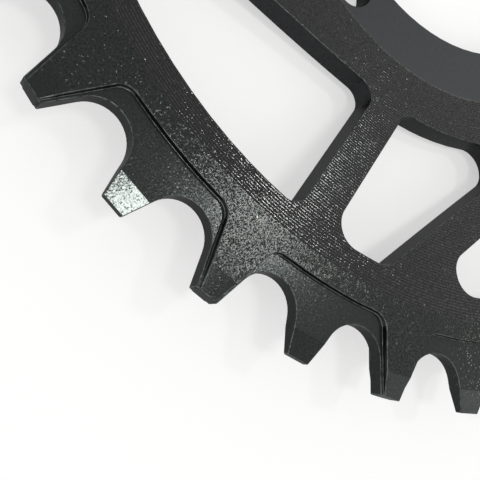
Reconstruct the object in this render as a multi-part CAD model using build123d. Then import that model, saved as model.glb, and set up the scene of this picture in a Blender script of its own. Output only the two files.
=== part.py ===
from build123d import *
import math
import os

# Bicycle chainring: a dished ring that bolts on at its hub, with alternating wide and narrow teeth.
# The bore runs along +Z, the hub's lower face is at Z = 0, and the first wide tooth points along +X.
# Lengths are in millimetres and angles in degrees.

# Teeth
TOOTH_COUNT = 36          # even, so that wide and narrow teeth alternate all the way round
CHAIN_PITCH = 12.7
ROLLER_SEAT_R = 3.95
TIP_HEIGHT = 2.7          # tooth tip above the pitch circle
TIP_LAND = 2.9            # width of the flat end of a tooth
TIP_SLOPE_RUN = 2.9       # length of the sloped face on each side of a tip
TIP_SLOPE_DROP = 0.55     # how far that face has dropped at the tip

# Rim plate
PLATE_T = 3.5             # rim, web and hub alike, and the wide teeth
RIM_W = 7.9               # tooth roots to the windows
RIM_FLAT_W = 4.6          # flat band behind the tooth roots, before the web slopes down

# Pockets that leave every second tooth narrow
POCKET_DEPTH = 0.75       # on each face
POCKET_BACK = 2.2         # tooth roots to the pocket's back wall
POCKET_LEDGE = 0.4        # step cut into the flank of each wide tooth
POCKET_CORNER_R = 2.0

# Hub, outwards from the bore
DISH = 5.4                # hub face below the rim's face
BORE_D = 49.8
HUB_FACE_W = 7.4          # flat face round the bore
HUB_W = 14.1              # bore to the windows
BOLT_COUNT = 5
BOLT_SETBACK = 4.1        # bore to the bolts' centres
BOLT_HOLE_D = 5.5
BOLT_ANGLE = 65.3         # first bolt, from the first wide tooth

# Web: pairs of a strut that runs out from the hub and a brace that lies square to the next strut
ARM_PAIRS = 5
STRUT_ANGLE = -0.7        # direction of the first strut, from the first wide tooth
STRUT_OFFSET = 10.6       # from the strut's centre line to the axis
STRUT_W = 4.9
BRACE_W = 4.75
RIM_OPENING = 9.0         # from a strut to the brace ahead of it, along the rim
NOSE_R = 3.0              # small window's rounded end between the hub and the brace
RIM_CORNER_R = 3.0        # window corners at the rim, apart from the long window's at its strut
STRUT_CORNER_R = 2.2      # long window's corners at its strut, and the small window's at the hub
BEND_R = 12.0             # long window, where the hub's edge turns along the brace

# How far a cutter reaches past the face that it enters by, and what the blank has beyond the tips
REACH = 3.0
BLANK_MARGIN = 1.0

# Derived places
tooth_step = 360 / TOOTH_COUNT
arm_step = 360 / ARM_PAIRS
pitch_r = CHAIN_PITCH / (2 * math.sin(math.pi / TOOTH_COUNT))
root_r = pitch_r - ROLLER_SEAT_R
tip_r = pitch_r + TIP_HEIGHT
tip_slope_r = tip_r - TIP_SLOPE_RUN
rim_r = root_r - RIM_W
slope_r = root_r - RIM_FLAT_W
pocket_r = root_r - POCKET_BACK
bore_r = BORE_D / 2
hub_face_r = bore_r + HUB_FACE_W
hub_r = bore_r + HUB_W
bolt_r = bore_r + BOLT_SETBACK
rim_low_z = DISH
rim_top_z = DISH + PLATE_T
plate_middle_z = DISH + PLATE_T / 2
cutter_height = rim_top_z + 2 * REACH

# Straight edges of the web, as distances from the axis
strut_near = STRUT_OFFSET - STRUT_W / 2
strut_far = STRUT_OFFSET + STRUT_W / 2
brace_head_turn = math.asin(strut_far / rim_r) + RIM_OPENING / rim_r
brace_inner = rim_r * math.cos(math.radians(arm_step) - brace_head_turn)
brace_outer = brace_inner + BRACE_W


def polar(radius, angle):
    """Point at a radius and an angle about the axis."""
    return Vector(radius, 0).rotate(Axis.Z, angle)


def pattern(shape, count, first_angle=0.0):
    """The same shape repeated evenly about the axis."""
    return [Rot(Z=first_angle + index * 360 / count) * shape for index in range(count)]


def blank():
    """The turned blank: flat hub, sloped web and flat rim."""
    blank_r = tip_r + BLANK_MARGIN
    profile = [
        (bore_r, 0),
        (hub_face_r, 0),
        (slope_r, rim_low_z),
        (blank_r, rim_low_z),
        (blank_r, rim_top_z),
        (slope_r, rim_top_z),
        (hub_face_r, PLATE_T),
        (bore_r, PLATE_T),
    ]
    outline = Plane.XZ * make_face(Polyline(*profile, close=True))
    return revolve(outline, Axis.Z)


def flank():
    """One tooth flank, seen from the gap on +X: tip corner, point where it meets the roller seat."""
    seat_centre = Vector(pitch_r, 0)
    half_land = math.degrees(math.asin(TIP_LAND / 2 / tip_r))
    corner = polar(tip_r, tooth_step / 2 - half_land)
    to_corner = corner - seat_centre
    spread = math.degrees(math.acos(ROLLER_SEAT_R / to_corner.length))
    seat_end = seat_centre + to_corner.normalized().rotate(Axis.Z, spread) * ROLLER_SEAT_R
    return corner, seat_end


def mirrored(point):
    """The same point on the other side of the X axis."""
    return Vector(point.X, -point.Y)


def tooth_gap():
    """Outline of the gap between two teeth: two straight flanks and the arc that a roller sits in."""
    corner, seat_end = flank()
    mouth = corner + (corner - seat_end).normalized() * REACH
    outline = [
        Line(mouth, seat_end),
        ThreePointArc(seat_end, Vector(root_r, 0), mirrored(seat_end)),
        Line(mirrored(seat_end), mirrored(mouth)),
        Line(mirrored(mouth), mouth),
    ]
    return make_face(outline)


def tooth_tip(thickness):
    """Cutter outside the tip of a tooth on +X: it leaves a flat end with a sloped face on each side."""
    half = thickness / 2
    outer_r = tip_r + REACH
    profile = [
        (tip_slope_r, half + REACH),
        (tip_slope_r, half),
        (tip_r, half - TIP_SLOPE_DROP),
        (tip_r, TIP_SLOPE_DROP - half),
        (tip_slope_r, -half),
        (tip_slope_r, -half - REACH),
        (outer_r, -half - REACH),
        (outer_r, half + REACH),
    ]
    outline = Plane.XZ * make_face(Polyline(*profile, close=True))
    return Pos(Z=plate_middle_z) * extrude(outline, CHAIN_PITCH / 2, both=True)


def pocket():
    """Outline of the pocket round the narrow tooth on +X, out to the flanks of its wide neighbours."""
    corner, seat_end = flank()
    along = (corner - seat_end).normalized()
    shift = along.rotate(Axis.Z, 90) * POCKET_LEDGE
    start = (corner + shift).rotate(Axis.Z, tooth_step / 2)
    along = along.rotate(Axis.Z, tooth_step / 2)
    inward = start.dot(along)
    back = start - along * (inward - math.sqrt(inward**2 - start.length**2 + pocket_r**2))
    mouth = start + along * REACH
    outline = [
        Line(mouth, back),
        ThreePointArc(back, Vector(pocket_r, 0), mirrored(back)),
        Line(mirrored(back), mirrored(mouth)),
        Line(mirrored(mouth), mouth),
    ]
    return make_face(outline)


def pockets():
    """Cutters on both faces: rounded corners on the upper one, which shows, and plain ones below."""
    outline = pocket()
    back_corners = outline.vertices().sort_by(Axis.X)[:2]
    upper = extrude(fillet(back_corners, POCKET_CORNER_R), POCKET_DEPTH + REACH)
    lower = extrude(outline, POCKET_DEPTH + REACH)
    narrow_count = TOOTH_COUNT // 2
    cutters = pattern(Pos(Z=rim_top_z - POCKET_DEPTH) * upper, narrow_count, tooth_step)
    return cutters + pattern(Pos(Z=rim_low_z - REACH) * lower, narrow_count, tooth_step)


def on_edge(edge, radius):
    """Where a straight edge, given as (angle of its normal, offset from the axis), leaves a radius."""
    normal_angle, offset = edge
    return polar(radius, normal_angle - math.degrees(math.acos(offset / radius)))


def crossing(first, second):
    """Where two straight edges cross, each given as (angle of its normal, offset from the axis)."""
    angle_between = math.radians(second[0] - first[0])
    along = (second[1] - first[1] * math.cos(angle_between)) / math.sin(angle_between)
    return Vector(first[1], along).rotate(Axis.Z, first[0])


def arc_about_axis(start, end, radius):
    """Arc about the axis between two points, the short way round."""
    middle = (start + end).normalized() * radius
    return ThreePointArc(start, middle, end)


def rounded_prism(outline, radii):
    """Cutter of an outline, through the whole height, with each named corner rounded to its own radius."""
    prism = extrude(make_face(outline), cutter_height)
    for point, radius in radii:
        corner = prism.edges().filter_by(Axis.Z).sort_by_distance(point)[0]
        prism = fillet(corner, radius)
    return prism


def long_window():
    """Opening before a strut: along the hub from the strut's foot, then along the outside of a brace."""
    strut_edge = (STRUT_ANGLE + 90, strut_near)
    foot = on_edge(strut_edge, hub_r)
    head = on_edge(strut_edge, rim_r)
    hub_edge = (math.degrees(math.atan2(foot.Y, foot.X)), hub_r)
    brace_edge = (STRUT_ANGLE, brace_outer)
    bend = crossing(hub_edge, brace_edge)
    tip = on_edge(brace_edge, rim_r)
    outline = [
        Line(tip, bend),
        Line(bend, foot),
        Line(foot, head),
        arc_about_axis(head, tip, rim_r),
    ]
    corners = [(tip, RIM_CORNER_R), (head, STRUT_CORNER_R), (foot, STRUT_CORNER_R), (bend, BEND_R)]
    return rounded_prism(outline, corners)


def small_window():
    """Opening behind a strut: between the strut, the hub, the inside of the next brace and the rim."""
    strut_edge = (STRUT_ANGLE + 90, strut_far)
    foot = on_edge(strut_edge, hub_r)
    head = on_edge(strut_edge, rim_r)
    brace_normal = STRUT_ANGLE + arm_step
    brace_head = on_edge((brace_normal, brace_inner), rim_r)

    nose_centre = on_edge((brace_normal, brace_inner - NOSE_R), hub_r + NOSE_R)
    to_brace = polar(1, brace_normal)
    to_hub = nose_centre.normalized() * -1
    nose_middle = nose_centre + (to_brace + to_hub).normalized() * NOSE_R
    nose_outer = nose_centre + to_brace * NOSE_R
    nose_inner = nose_centre + to_hub * NOSE_R
    outline = [
        Line(foot, head),
        arc_about_axis(head, brace_head, rim_r),
        Line(brace_head, nose_outer),
        ThreePointArc(nose_outer, nose_middle, nose_inner),
        arc_about_axis(nose_inner, foot, hub_r),
    ]
    corners = [(head, RIM_CORNER_R), (brace_head, RIM_CORNER_R), (foot, STRUT_CORNER_R)]
    return rounded_prism(outline, corners)


def chainring():
    """The whole ring, cut from its turned blank."""
    through_cutters = pattern(extrude(tooth_gap(), cutter_height), TOOTH_COUNT, tooth_step / 2)
    through_cutters += pattern(long_window(), ARM_PAIRS)
    through_cutters += pattern(small_window(), ARM_PAIRS)
    bolt_hole = Pos(bolt_r, 0) * extrude(Circle(BOLT_HOLE_D / 2), cutter_height)
    through_cutters += pattern(bolt_hole, BOLT_COUNT, BOLT_ANGLE)

    narrow_t = PLATE_T - 2 * POCKET_DEPTH
    tips = pattern(tooth_tip(PLATE_T), TOOTH_COUNT // 2)
    tips += pattern(tooth_tip(narrow_t), TOOTH_COUNT // 2, tooth_step)

    ring = blank() - [Pos(Z=-REACH) * cutter for cutter in through_cutters]
    return ring - tips - pockets()


os.makedirs("parts", exist_ok=True)
export_step(chainring(), "parts/chainring.step")
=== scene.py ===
import math

import bpy
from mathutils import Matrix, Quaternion, Vector

# A machined chainring in black anodised aluminium, lying on its hub on a white table.
# Lengths are in metres, in the part's own frame: the bore along Z, the hub's lower face at Z = 0.

MM = 0.001

# Sizes of the part that its finishes follow
HUB_FACE_R = 32.3 * MM      # flat face round the bore ends here
SLOPE_R = 64.3 * MM         # the web's slope ends here
TIP_SLOPE_R = 72.66 * MM    # sloped faces of the tooth tips begin here
RIM_TOP_Z = 8.9 * MM
RIM_LOW_Z = 5.4 * MM
LEVEL_TOLERANCE = 0.1 * MM
WALL_Z = 0.5                # a face whose normal's Z is smaller than this is a wall
TIP_Z = 0.995               # and out at the tips, smaller than this, a sloped face
LEVEL_Z = 0.999             # and larger than this, a level face

# Broken edges
WELD_GAP = 0.001 * MM       # corners that lie closer than this are one corner
EDGE_BREAK = 0.10 * MM      # burr taken off every edge
EDGE_ANGLE = math.radians(28)

# Dents and turned lines
NOISE_MIDDLE = (0.5, 0.5, 0.5)
DENT_FLOOR = 0.3            # height in the noise where the dye is full
DENT_CREST = 0.6            # and where it is thinnest
BACK_LEAN = 0.2             # a turned line's inner side leans by this share of its outer side
# A turned line's paler crest is partly a painted highlight, set on the side that catches the key
# lamp
RIDGE_END = 0.5             # a turned line's crest ends at this share of its step
RIDGE_FULL = 0.2            # and is full at this one

# Wear. Nicks and motes fill a part of their cell, and a cell's own shade says if it has one.
NICK_END, NICK_FULL = 0.08, 0.04
NICK_NONE, NICK_SURE = 0.72, 0.88
MOTE_END, MOTE_FULL = 0.34, 0.18
MOTE_NONE, MOTE_SURE = 0.48, 0.64
DUST_CELL = 0.30 * MM       # at most one mote in a cell of this size
DUST_SPOT = (-21.6 * MM, -65.0 * MM, 8.2 * MM)    # a patch of dust lies on this tooth
DUST_R = 6.5 * MM
# Painted highlight along the crease round the hub's face
CREASE_HIGHLIGHT_W = 0.18 * MM        # drawn as a pale band this wide
CREASE_HIGHLIGHT_SOFT = 0.12 * MM     # and fades over this part of it
CREASE_HIGHLIGHT_SHARE = 0.4
PALE = "#94948a"            # bare metal in a nick, dust, and the painted highlight on the hub's crease

# Dyed oxide mirrors a little less than clear oxide, and greyer at a low angle
OXIDE_SHINE = 0.28
OXIDE_TINT = "#d0d0d0"

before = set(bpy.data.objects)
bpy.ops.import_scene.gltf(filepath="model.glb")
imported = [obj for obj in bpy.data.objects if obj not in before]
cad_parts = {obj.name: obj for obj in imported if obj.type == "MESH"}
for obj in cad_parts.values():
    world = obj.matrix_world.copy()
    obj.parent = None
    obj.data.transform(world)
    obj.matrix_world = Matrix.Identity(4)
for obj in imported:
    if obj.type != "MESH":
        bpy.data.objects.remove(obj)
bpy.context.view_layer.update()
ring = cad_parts["chainring"]


def colour(hex_text):
    """Linear colour of an sRGB hex value."""
    channels = [int(hex_text[place : place + 2], 16) / 255 for place in (1, 3, 5)]
    linear = [c / 12.92 if c <= 0.04045 else ((c + 0.055) / 1.055) ** 2.4 for c in channels]
    return (*linear, 1.0)


def add(tree, kind, inputs=None, **settings):
    """Adds a node to a tree, with its settings, and its inputs as values or links."""
    node = tree.nodes.new(kind)
    for name, value in settings.items():
        setattr(node, name, value)
    for socket, value in (inputs or {}).items():
        if isinstance(value, bpy.types.NodeSocket):
            tree.links.new(value, node.inputs[socket])
        else:
            node.inputs[socket].default_value = value
    return node


def new_material(name):
    """A material with an empty node tree."""
    material = bpy.data.materials.new(name)
    material.use_nodes = True
    material.node_tree.nodes.clear()
    return material


def anodised(name, dye, crest, roughness, grain_mm, grain_tilt, metallic=0.5, curved=False,
             speck_mm=1.6, line_mm=None, line_lean=0.0):
    """Black anodised aluminium: the metal's sheen through dyed oxide, with thin dye on crests.

    grain_mm is the width of the dents that the tool left, and grain_tilt how steep they are.
    line_mm is the step from one turned line to the next, and line_lean how far its faces lean; the
    paler crest on each line is partly a painted highlight.
    speck_mm is the cell in which at most one pale nick lies.
    Half metallic stands for oxide with dye in it, all metallic for oxide cut thin.
    """
    material = new_material(name)
    tree = material.node_tree
    place = add(tree, "ShaderNodeTexCoord").outputs["Object"]
    normal = add(tree, "ShaderNodeNewGeometry").outputs["Normal" if curved else "True Normal"]

    # Dents, each a small face that leans its own way, most of them little and a few steeply
    grain_inputs = {"Vector": place, "Scale": 1 / (grain_mm * MM), "Detail": 1.0, "Roughness": 0.5}
    grain = add(tree, "ShaderNodeTexNoise", grain_inputs).outputs
    height_inputs = {0: grain["Fac"], 1: DENT_FLOOR, 2: DENT_CREST}
    height = add(tree, "ShaderNodeMapRange", height_inputs).outputs[0]
    uneven_inputs = {0: grain["Color"], 1: NOISE_MIDDLE}
    uneven = add(tree, "ShaderNodeVectorMath", uneven_inputs, operation="SUBTRACT").outputs[0]
    depth = add(tree, "ShaderNodeVectorMath", {0: uneven}, operation="LENGTH").outputs["Value"]
    steep = add(tree, "ShaderNodeMath", {0: depth, 1: grain_tilt}, operation="MULTIPLY").outputs[0]
    tilt_inputs = {0: uneven, "Scale": steep}
    tilt = add(tree, "ShaderNodeVectorMath", tilt_inputs, operation="SCALE").outputs[0]
    normal = add(tree, "ShaderNodeVectorMath", {0: normal, 1: tilt}, operation="ADD").outputs[0]

    # Pale nicks, scattered
    cell_inputs = {"Vector": place, "Scale": 1 / (speck_mm * MM)}
    cells = add(tree, "ShaderNodeTexVoronoi", cell_inputs).outputs
    near_inputs = {0: cells["Distance"], 1: NICK_END, 2: NICK_FULL}
    near = add(tree, "ShaderNodeMapRange", near_inputs).outputs[0]
    chosen_inputs = {0: cells["Color"], 1: NICK_NONE, 2: NICK_SURE}
    chosen = add(tree, "ShaderNodeMapRange", chosen_inputs).outputs[0]
    nicks = add(tree, "ShaderNodeMath", {0: near, 1: chosen}, operation="MULTIPLY").outputs[0]

    # A patch of dust
    away_inputs = {0: place, 1: DUST_SPOT}
    away = add(tree, "ShaderNodeVectorMath", away_inputs, operation="DISTANCE").outputs["Value"]
    patch = add(tree, "ShaderNodeMapRange", {0: away, 1: DUST_R, 2: DUST_R / 2}).outputs[0]
    motes = add(tree, "ShaderNodeTexVoronoi", {"Vector": place, "Scale": 1 / DUST_CELL}).outputs
    grit_inputs = {0: motes["Distance"], 1: MOTE_END, 2: MOTE_FULL}
    grit = add(tree, "ShaderNodeMapRange", grit_inputs).outputs[0]
    picked_inputs = {0: motes["Color"], 1: MOTE_NONE, 2: MOTE_SURE}
    picked = add(tree, "ShaderNodeMapRange", picked_inputs).outputs[0]
    mote = add(tree, "ShaderNodeMath", {0: grit, 1: picked}, operation="MULTIPLY").outputs[0]
    dust = add(tree, "ShaderNodeMath", {0: mote, 1: patch}, operation="MULTIPLY").outputs[0]
    pale = add(tree, "ShaderNodeMath", {0: nicks, 1: dust}, operation="MAXIMUM").outputs[0]

    if line_mm:
        # Turned lines: across each step the face leans from outwards to inwards
        flat_inputs = {0: place, 1: (1, 1, 0)}
        outwards = add(tree, "ShaderNodeVectorMath", flat_inputs, operation="MULTIPLY").outputs[0]
        radius_node = add(tree, "ShaderNodeVectorMath", {0: outwards}, operation="LENGTH")
        radius = radius_node.outputs["Value"]
        unit = add(tree, "ShaderNodeVectorMath", {0: outwards}, operation="NORMALIZE").outputs[0]
        turn_inputs = {0: radius, 1: line_mm * MM}
        turns = add(tree, "ShaderNodeMath", turn_inputs, operation="DIVIDE").outputs[0]
        across = add(tree, "ShaderNodeMath", {0: turns}, operation="FRACT").outputs[0]
        lean_inputs = {0: across, 3: line_lean, 4: -BACK_LEAN * line_lean}
        lean = add(tree, "ShaderNodeMapRange", lean_inputs).outputs[0]
        slant_inputs = {0: unit, "Scale": lean}
        slant = add(tree, "ShaderNodeVectorMath", slant_inputs, operation="SCALE").outputs[0]
        lined_inputs = {0: normal, 1: slant}
        normal = add(tree, "ShaderNodeVectorMath", lined_inputs, operation="ADD").outputs[0]

        # Painted highlight: a pale band just outside the crease round the hub's face, broken by the
        # dents
        gap_inputs = {0: radius, 1: HUB_FACE_R}
        gap = add(tree, "ShaderNodeMath", gap_inputs, operation="SUBTRACT").outputs[0]
        band_inputs = {0: gap, 1: CREASE_HIGHLIGHT_W, 2: CREASE_HIGHLIGHT_W - CREASE_HIGHLIGHT_SOFT, 4: CREASE_HIGHLIGHT_SHARE}
        band = add(tree, "ShaderNodeMapRange", band_inputs).outputs[0]
        crease_highlight = add(tree, "ShaderNodeMath", {0: band, 1: height}, operation="MULTIPLY").outputs[0]
        pale = add(tree, "ShaderNodeMath", {0: pale, 1: crease_highlight}, operation="MAXIMUM").outputs[0]

        # Paler metal on each line's outward-leaning side, where the key lamp glints: partly a
        # thinner dye on the crest, partly a painted highlight
        ridge_inputs = {0: across, 1: RIDGE_END, 2: RIDGE_FULL}
        ridge = add(tree, "ShaderNodeMapRange", ridge_inputs).outputs[0]
        height = add(tree, "ShaderNodeMath", {0: ridge, 1: height}, operation="MULTIPLY").outputs[0]

    tint_inputs = {0: height, 6: colour(dye), 7: colour(crest)}
    tint = add(tree, "ShaderNodeMix", tint_inputs, data_type="RGBA").outputs[2]
    # Pale nicks, dust and the crease's painted highlight go over the tint
    worn_and_highlit_inputs = {0: pale, 6: tint, 7: colour(PALE)}
    worn_and_highlit = add(tree, "ShaderNodeMix", worn_and_highlit_inputs, data_type="RGBA").outputs[2]
    facing = add(tree, "ShaderNodeVectorMath", {0: normal}, operation="NORMALIZE").outputs[0]
    metal_inputs = {
        "Base Color": worn_and_highlit,
        "Metallic": metallic,
        "Specular IOR Level": OXIDE_SHINE,
        "Roughness": roughness,
        "Specular Tint": colour(OXIDE_TINT),
        "Normal": facing,
    }
    metal = add(tree, "ShaderNodeBsdfPrincipled", metal_inputs).outputs[0]
    add(tree, "ShaderNodeOutputMaterial", {"Surface": metal})
    return material


FINISHES = {
    # Blasted with coarse beads, then dyed: sparkles in small flecks where a lamp glances off it
    "rim": anodised(
        "bead_blasted_black_anodised_aluminium", "#272a27", "#363837",
        roughness=0.20, grain_mm=0.24, grain_tilt=2.2,
    ),
    # Turned in fine steps: thin bright lines round the axis, broken into dashes, their paler crests
    # partly a painted highlight.
    # The real step is 0.35 mm, drawn a little coarser so that it shows.
    "web": anodised(
        "turned_black_anodised_aluminium", "#303130", "#494a49",
        roughness=0.13, grain_mm=0.23, grain_tilt=1.9, speck_mm=0.8,
        line_mm=0.38, line_lean=0.258,
    ),
    # Faced smooth round the bore: an even satin grey
    "hub": anodised(
        "faced_black_anodised_aluminium", "#3e4041", "#424445",
        roughness=0.34, grain_mm=0.20, grain_tilt=0.30,
    ),
    # Pocket floors, milled: a finer and darker grain than the rim's
    "pocket": anodised(
        "milled_black_anodised_aluminium", "#2d3130", "#363938",
        roughness=0.20, grain_mm=0.20, grain_tilt=0.8,
    ),
    # Walls left by the cutter's side: smooth, with a soft dark sheen
    "wall": anodised(
        "side_milled_black_anodised_aluminium", "#2c2d2e", "#333435",
        roughness=0.45, grain_mm=0.40, grain_tilt=0.24, metallic=1.0, curved=True,
    ),
    # Sloped tips: a smooth cut that mirrors a lamp as one bright patch
    "tip": anodised(
        "chamfered_black_anodised_aluminium", "#3a3e3d", "#474a48",
        roughness=0.13, grain_mm=0.18, grain_tilt=0.65, metallic=1.0,
    ),
    # Broken edges, where the dye is thin: a fine paler outline
    "edge": anodised(
        "thin_dyed_aluminium_edge", "#353636", "#5a5d5d",
        roughness=0.30, grain_mm=0.60, grain_tilt=0.24, metallic=1.0, curved=True,
    ),
}
SLOTS = list(FINISHES)


def finish_of(face):
    """Which finish a face of the ring has, from where it lies and which way it looks."""
    radius = Vector((face.center.x, face.center.y)).length
    height = face.center.z
    upright = abs(face.normal.z)
    if upright < WALL_Z:
        return "wall"
    if radius < HUB_FACE_R and upright > LEVEL_Z:
        return "hub"
    if radius > TIP_SLOPE_R and upright < TIP_Z:
        return "tip"
    if radius < SLOPE_R and upright < LEVEL_Z:
        return "web"
    if RIM_LOW_Z + LEVEL_TOLERANCE < height < RIM_TOP_Z - LEVEL_TOLERANCE:
        return "pocket"
    return "rim"


ring.data.materials.clear()
for finish in FINISHES.values():
    ring.data.materials.append(finish)
for face in ring.data.polygons:
    face.material_index = SLOTS.index(finish_of(face))

weld = ring.modifiers.new("weld", "WELD")
weld.merge_threshold = WELD_GAP
bevel = ring.modifiers.new("edge_break", "BEVEL")
bevel.width = EDGE_BREAK
bevel.segments = 1
bevel.limit_method = "ANGLE"
bevel.angle_limit = EDGE_ANGLE
bevel.material = SLOTS.index("edge")
bevel.face_strength_mode = "FSTR_ALL"
shading = ring.modifiers.new("smooth_walls", "WEIGHTED_NORMAL")
shading.use_face_influence = True

# Studio: two small soft lamps, pale walls all round and a greyer ceiling
LIT_POINT = Vector((-50, -42, 9)) * MM    # on the teeth that the camera sees
LAMP_DISTANCE = 1.0
CEILING = (0, 0.25, 0.97)                 # where the greyer part of the room is
WALLS_END = 0.50                          # cosine from the ceiling's middle where the walls end
CEILING_FULL = 0.75                       # and where the ceiling is as grey as it gets
WALLS_GLOW = 1.30
CEILING_GLOW = 0.44


def soft_lamp(name, direction, size, brightness):
    """A square lamp that looks at the visible teeth; brightness as the ring's metal mirrors it."""
    data = bpy.data.lights.new(name, "AREA")
    data.shape = "SQUARE"
    data.size = size
    data.energy = brightness * math.pi * size * size
    lamp = bpy.data.objects.new(name, data)
    bpy.context.collection.objects.link(lamp)
    towards = Vector(direction).normalized()
    lamp.location = LIT_POINT + towards * LAMP_DISTANCE
    lamp.rotation_euler = towards.to_track_quat("Z", "Y").to_euler()


soft_lamp("key", direction=(0.507, 0.034, 0.860), size=0.08, brightness=57.0)
soft_lamp("overhead", direction=(0.03, -0.14, 0.99), size=0.18, brightness=18.0)

world = bpy.data.worlds.new("studio")
bpy.context.scene.world = world
world.use_nodes = True
room = world.node_tree
room.nodes.clear()
outlook = add(room, "ShaderNodeTexCoord").outputs["Generated"]
rise_inputs = {0: outlook, 1: CEILING}
rise = add(room, "ShaderNodeVectorMath", rise_inputs, operation="DOT_PRODUCT").outputs["Value"]
level_inputs = {0: rise, 1: WALLS_END, 2: CEILING_FULL, 3: WALLS_GLOW, 4: CEILING_GLOW}
level = add(room, "ShaderNodeMapRange", level_inputs).outputs[0]
glow_inputs = {"Color": colour("#ffffff"), "Strength": level}
glow = add(room, "ShaderNodeBackground", glow_inputs).outputs[0]
add(room, "ShaderNodeOutputWorld", {"Surface": glow})

# White matt paper: near the ring only a share of what is seen is plain white, so that a soft
# shadow stays, and farther out it all is
TABLE_SIZE = 4.0
SHADOW_SHARE = 0.5
SHADOW_R = 62 * MM
WHITE_R = 115 * MM
paper = new_material("white_paper_table")
sheet = paper.node_tree
rays = add(sheet, "ShaderNodeLightPath").outputs
looked_inputs = {0: rays["Is Camera Ray"], 1: rays["Is Glossy Ray"]}
looked = add(sheet, "ShaderNodeMath", looked_inputs, operation="MAXIMUM").outputs[0]
seen_inputs = {0: looked, 1: rays["Is Transmission Ray"]}
seen = add(sheet, "ShaderNodeMath", seen_inputs, operation="MAXIMUM").outputs[0]
spot = add(sheet, "ShaderNodeTexCoord").outputs["Object"]
reach = add(sheet, "ShaderNodeVectorMath", {0: spot}, operation="LENGTH").outputs["Value"]
clean_inputs = {0: reach, 1: SHADOW_R, 2: WHITE_R, 3: SHADOW_SHARE}
clean = add(sheet, "ShaderNodeMapRange", clean_inputs).outputs[0]
share = add(sheet, "ShaderNodeMath", {0: seen, 1: clean}, operation="MULTIPLY").outputs[0]
matt = add(sheet, "ShaderNodeBsdfDiffuse", {"Color": colour("#fcfcfa")}).outputs[0]
white_inputs = {"Color": colour("#ffffff"), "Strength": 1.0}
white = add(sheet, "ShaderNodeEmission", white_inputs).outputs[0]
blend = add(sheet, "ShaderNodeMixShader", {0: share, 1: matt, 2: white}).outputs[0]
add(sheet, "ShaderNodeOutputMaterial", {"Surface": blend})

bpy.ops.mesh.primitive_plane_add(size=TABLE_SIZE, location=(0, 0, 0))
floor = bpy.context.object
floor.name = "table"
floor.data.materials.append(paper)

# Camera, at the photograph's place: it looks down on the teeth, turned on its side
CAMERA_PLACE = Vector((-87.271, -44.337, 72.470)) * MM
CAMERA_AIM = Vector((-53.111, -43.720, 8.900)) * MM
CAMERA_ROLL = math.radians(76.734)
SENSOR_MM = 36.0
LENS_MM = 51.494
NEAREST_SEEN = 1 * MM

camera_data = bpy.data.cameras.new("camera")
camera_data.sensor_width = SENSOR_MM
camera_data.lens = LENS_MM
camera_data.clip_start = NEAREST_SEEN
camera = bpy.data.objects.new("camera", camera_data)
bpy.context.collection.objects.link(camera)
camera.location = CAMERA_PLACE
level_look = (CAMERA_AIM - CAMERA_PLACE).to_track_quat("-Z", "Y")
camera.rotation_euler = (level_look @ Quaternion((0, 0, 1), CAMERA_ROLL)).to_euler()
bpy.context.scene.camera = camera
bpy.context.scene.view_settings.view_transform = "Standard"
